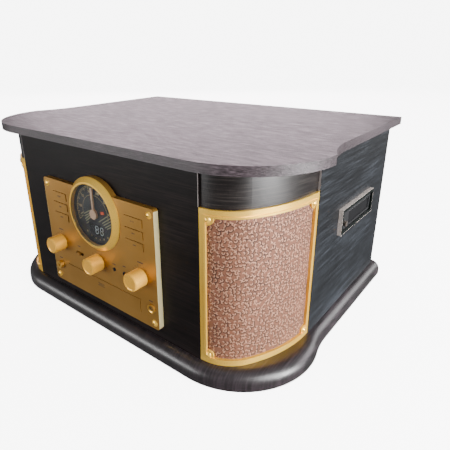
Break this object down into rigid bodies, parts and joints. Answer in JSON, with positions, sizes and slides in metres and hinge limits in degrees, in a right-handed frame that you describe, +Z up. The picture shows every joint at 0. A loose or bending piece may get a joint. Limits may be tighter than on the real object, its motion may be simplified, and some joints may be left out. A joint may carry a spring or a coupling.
{
  "type": "stereo music centre",
  "caption": "Nostalgic table-top music centre: lidded turntable, round tuner dial, disc drawer, cassette slot and curved corner speaker grilles.",
  "frame": {"origin": "middle of the whole box, on the surface that the feet stand on", "axes": "+X to the listener's right, +Y to the back, +Z up; the control panel faces -Y"},
  "size_m": [0.4596, 0.338, 0.2286],
  "materials": {
    "board": "wood-grain vinyl on board",
    "circuit": "printed circuit board with its parts",
    "cloth": "embossed speaker cloth",
    "glass": "clear",
    "gold": "bright gold",
    "gold_plate": "satin gold",
    "lid_vinyl": "wood-grain vinyl on board",
    "plastic": "moulded black plastic",
    "rose_metal": "satin silver rose",
    "rubber": "plain rubber",
    "steel": "plated steel"
  },
  "bodies": {
    "cabinet": {"plinth": "board", "feet": "rubber", "front_panel": "board", "corner_panel_left": "board", "corner_panel_right": "board", "side_panel_left": "board", "side_panel_right": "board", "back_panel": "board", "deck_plate": "plastic", "hinge_leaves_cabinet": "steel", "grille_frame_left": "gold", "grille_frame_right": "gold", "grille_cloth_left": "cloth", "grille_cloth_right": "cloth", "screws": "gold", "speaker_left": "plastic", "speaker_right": "plastic", "control_panel": "gold_plate", "dial_ring": "gold", "dial_glass": "glass", "dial_face": "plastic", "digit_window": "plastic", "receiver_window": "plastic", "phones_socket": "gold", "line_in_socket": "plastic", "disc_drive": "steel", "switch_board": "circuit", "main_board": "circuit", "transformer": "steel", "motor": "steel", "drive_belt": "rubber", "arm_base": "plastic", "cassette_bezel": "rose_metal", "cassette_deck": "plastic", "socket_plate": "plastic"},
    "lid": {"lid": "lid_vinyl", "hinge_leaves_lid": "steel"},
    "platter": {"platter": "plastic", "platter_mat": "rubber"},
    "motor_rotor": {"motor_pulley": "gold"},
    "arm_yoke": {"arm_yoke": "plastic"},
    "pickup_arm": {"pickup_arm": "plastic"},
    "cue_lever": {"cue_lever": "plastic"},
    "speed_selector": {"speed_selector": "plastic"},
    "knob_function": {"knob_function": "gold"},
    "knob_tuning": {"knob_tuning": "gold"},
    "knob_volume": {"knob_volume": "gold"},
    "dial_needle": {"dial_needle": "gold"},
    "band_switch": {"band_switch": "gold"},
    "open_button": {"open_button": "gold"},
    "disc_tray": {"disc_tray": "gold_plate"},
    "disc_hub": {"disc_hub": "plastic"},
    "cassette_flap": {"cassette_flap": "plastic"},
    "cassette_key": {"cassette_key": "plastic"},
    "button_left_top": {"button_left_top": "gold"},
    "button_left_middle": {"button_left_middle": "gold"},
    "button_left_bottom": {"button_left_bottom": "gold"},
    "button_right_top": {"button_right_top": "gold"},
    "button_right_middle": {"button_right_middle": "gold"},
    "button_right_bottom": {"button_right_bottom": "gold"}
  },
  "joints": [
    {"name": "lid_hinge", "type": "hinge", "parent": "cabinet", "child": "lid", "pos_m": [0, 0.16512, 0.2159], "axis": [-1, 0, 0], "range_deg": [0, 75]},
    {"name": "platter_spin", "type": "hinge", "parent": "cabinet", "child": "platter", "pos_m": [-0.042, 0.00737, 0.171], "axis": [0, 0, 1], "continuous": true},
    {"name": "pulley_spin", "type": "hinge", "parent": "cabinet", "child": "motor_rotor", "pos_m": [-0.09857, -0.04919, 0.171], "axis": [0, 0, 1], "continuous": true},
    {"name": "arm_swing", "type": "hinge", "parent": "cabinet", "child": "arm_yoke", "pos_m": [0.15, 0.10013, 0.171], "axis": [0, 0, -1], "range_deg": [0, 50]},
    {"name": "arm_lift", "type": "hinge", "parent": "arm_yoke", "child": "pickup_arm", "pos_m": [0.15, 0.10013, 0.203], "axis": [-1, 0, 0], "range_deg": [0, 2.5]},
    {"name": "cue_lever_turn", "type": "hinge", "parent": "cabinet", "child": "cue_lever", "pos_m": [0.17, 0.07512, 0.18], "axis": [-1, 0, 0], "range_deg": [0, 60]},
    {"name": "speed_turn", "type": "hinge", "parent": "cabinet", "child": "speed_selector", "pos_m": [0.168, -0.09488, 0.171], "axis": [0, 0, 1], "range_deg": [-30, 30]},
    {"name": "function_turn", "type": "hinge", "parent": "cabinet", "child": "knob_function", "pos_m": [-0.0693, -0.15268, 0.0933], "axis": [0, -1, 0], "range_deg": [-60, 60]},
    {"name": "tuning_turn", "type": "hinge", "parent": "cabinet", "child": "knob_tuning", "pos_m": [0, -0.15268, 0.0877], "axis": [0, -1, 0], "range_deg": [-165, 165]},
    {"name": "needle_turn", "type": "hinge", "parent": "cabinet", "child": "dial_needle", "pos_m": [0, -0.15268, 0.1455], "axis": [0, -1, 0], "range_deg": [-110, 110]},
    {"name": "volume_turn", "type": "hinge", "parent": "cabinet", "child": "knob_volume", "pos_m": [0.0693, -0.15268, 0.0933], "axis": [0, -1, 0], "range_deg": [-140, 140]},
    {"name": "band_slide", "type": "slide", "parent": "cabinet", "child": "band_switch", "axis": [1, 0, 0], "range_m": [-0.004, 0.004]},
    {"name": "button_left_top_press", "type": "slide", "parent": "cabinet", "child": "button_left_top", "axis": [0, 1, 0], "range_m": [0, 0.0012], "stiffness_N_per_m": 300},
    {"name": "button_left_middle_press", "type": "slide", "parent": "cabinet", "child": "button_left_middle", "axis": [0, 1, 0], "range_m": [0, 0.0012], "stiffness_N_per_m": 300},
    {"name": "button_left_bottom_press", "type": "slide", "parent": "cabinet", "child": "button_left_bottom", "axis": [0, 1, 0], "range_m": [0, 0.0012], "stiffness_N_per_m": 300},
    {"name": "button_right_top_press", "type": "slide", "parent": "cabinet", "child": "button_right_top", "axis": [0, 1, 0], "range_m": [0, 0.0012], "stiffness_N_per_m": 300},
    {"name": "button_right_middle_press", "type": "slide", "parent": "cabinet", "child": "button_right_middle", "axis": [0, 1, 0], "range_m": [0, 0.0012], "stiffness_N_per_m": 300},
    {"name": "button_right_bottom_press", "type": "slide", "parent": "cabinet", "child": "button_right_bottom", "axis": [0, 1, 0], "range_m": [0, 0.0012], "stiffness_N_per_m": 300},
    {"name": "open_button_press", "type": "slide", "parent": "cabinet", "child": "open_button", "axis": [0, 1, 0], "range_m": [0, 0.0008], "stiffness_N_per_m": 300},
    {"name": "tray_slide", "type": "slide", "parent": "cabinet", "child": "disc_tray", "axis": [0, -1, 0], "range_m": [0, 0.125]},
    {"name": "disc_hub_spin", "type": "hinge", "parent": "cabinet", "child": "disc_hub", "pos_m": [0, -0.07458, 0.0485], "axis": [0, 0, 1], "continuous": true},
    {"name": "flap_swing", "type": "hinge", "parent": "cabinet", "child": "cassette_flap", "pos_m": [0.2081, 0.07037, 0.1382], "axis": [0, 1, 0], "range_deg": [0, 80], "stiffness_Nm_per_rad": 0.002},
    {"name": "key_press", "type": "slide", "parent": "cabinet", "child": "cassette_key", "axis": [-1, 0, 0], "range_m": [0, 0.003], "stiffness_N_per_m": 300}
  ],
  "couplings": [
    {"joint": "pulley_spin", "follows": "platter_spin", "ratio": 10.333},
    {"joint": "needle_turn", "follows": "tuning_turn", "ratio": 0.66667},
    {"joint": "arm_lift", "follows": "cue_lever_turn", "ratio": 0.041667}
  ]
}
